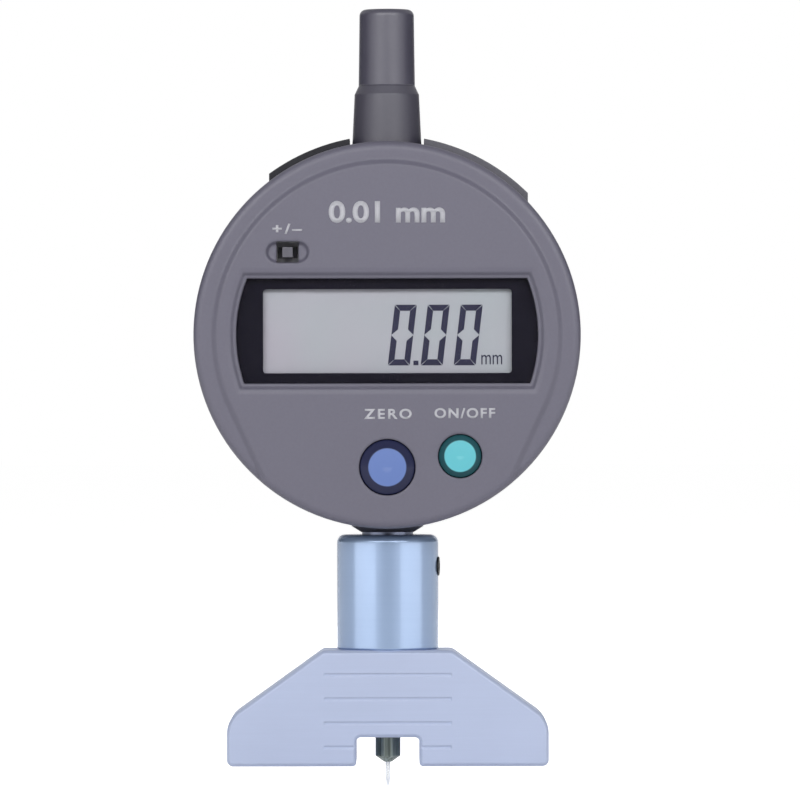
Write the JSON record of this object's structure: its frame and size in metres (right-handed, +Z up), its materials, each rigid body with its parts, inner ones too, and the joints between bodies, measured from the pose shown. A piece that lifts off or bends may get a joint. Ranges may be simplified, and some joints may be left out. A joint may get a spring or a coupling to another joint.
{
  "type": "digital depth gauge",
  "caption": "Digital depth gauge: round indicator with grey display, push buttons and capped spindle, clamped in a T-shaped steel base with a needle tip.",
  "frame": {"origin": "on the spindle's axis, in the plane of the base's two measuring pads", "axes": "+Z up along the spindle, -Y out of the dial towards the reader, +X to the reader's right"},
  "size_m": [0.06, 0.0261, 0.1212],
  "materials": {
    "block_steel": "satin ground and plated",
    "sleeve_steel": "turned and polished",
    "bright_steel": "ground",
    "dark_steel": "black oxide",
    "cover_paint": "satin grey paint",
    "case_paint": "satin grey paint",
    "grey_plastic": "satin",
    "black_rubber": "matte",
    "lens_clear": "clear",
    "film_black": "gloss",
    "display_glass": "grey liquid crystal",
    "white_plastic": "matte",
    "board_green": "gloss",
    "black_plastic": "matte",
    "blue_button": "satin",
    "turquoise_button": "satin",
    "brass": "turned",
    "alloy": "machined",
    "scale_glass": "printed scale",
    "spring_contact": "plated"
  },
  "bodies": {
    "indicator_on_base": {"back_gasket": "black_rubber", "back_plate": "case_paint", "back_screws": "bright_steel", "base_block": "block_steel", "base_sleeve": "sleeve_steel", "battery_contact_minus": "spring_contact", "battery_contact_plus": "spring_contact", "board_link": "black_plastic", "board_screws": "bright_steel", "bump_stop": "black_rubber", "case_screws": "bright_steel", "case_seal": "black_rubber", "clamp_screw": "dark_steel", "collar": "grey_plastic", "data_connector": "black_plastic", "front_cover": "cover_paint", "key_domes": "spring_contact", "lcd_contact_strips": "black_rubber", "lcd_frame": "white_plastic", "lcd_panel": "display_glass", "lens": "lens_clear", "lens_film": "film_black", "lower_bush": "brass", "main_board": "board_green", "main_case": "case_paint", "processor_chip": "black_plastic", "return_spring": "bright_steel", "sensor_board": "board_green", "sensor_screws": "bright_steel", "spring_post": "bright_steel", "stem": "bright_steel", "switch_body": "black_plastic", "upper_bush": "brass"},
    "spindle": {"spindle": "bright_steel", "needle_holder": "bright_steel", "needle": "bright_steel", "scale_carrier": "alloy", "carrier_screw": "dark_steel", "scale": "scale_glass", "guide_pin": "bright_steel", "spring_pin": "bright_steel"},
    "zero_button": {"zero_button": "blue_button"},
    "power_button": {"power_button": "turquoise_button"},
    "sign_switch": {"sign_switch": "grey_plastic"},
    "spindle_cap": {"spindle_cap": "grey_plastic"},
    "battery_tray": {"battery_tray": "grey_plastic", "battery": "bright_steel"},
    "connector_cover": {"connector_cover": "black_rubber"}
  },
  "joints": [
    {"name": "spindle_slide", "type": "slide", "parent": "indicator_on_base", "child": "spindle", "axis": [0, 0, 1], "range_m": [0, 0.012], "stiffness_N_per_m": 40, "springref_m": -0.015, "deforming": ["return_spring"]},
    {"name": "zero_button_press", "type": "slide", "parent": "indicator_on_base", "child": "zero_button", "axis": [0, 1, 0], "range_m": [0, 0.0005], "stiffness_N_per_m": 1000, "springref_m": -0.0005},
    {"name": "power_button_press", "type": "slide", "parent": "indicator_on_base", "child": "power_button", "axis": [0, 1, 0], "range_m": [0, 0.0005], "stiffness_N_per_m": 1000, "springref_m": -0.0005},
    {"name": "sign_switch_slide", "type": "slide", "parent": "indicator_on_base", "child": "sign_switch", "axis": [1, 0, 0], "range_m": [-0.0006, 0.0006]},
    {"name": "spindle_cap_pull", "type": "slide", "parent": "indicator_on_base", "child": "spindle_cap", "axis": [0, 0, 1], "range_m": [0, 0.015]},
    {"name": "battery_tray_slide", "type": "slide", "parent": "indicator_on_base", "child": "battery_tray", "axis": [0.4695, 0, 0.8829], "range_m": [0, 0.024]},
    {"name": "connector_cover_pull", "type": "slide", "parent": "indicator_on_base", "child": "connector_cover", "axis": [-0.3827, 0, 0.9239], "range_m": [0, 0.012]}
  ]
}
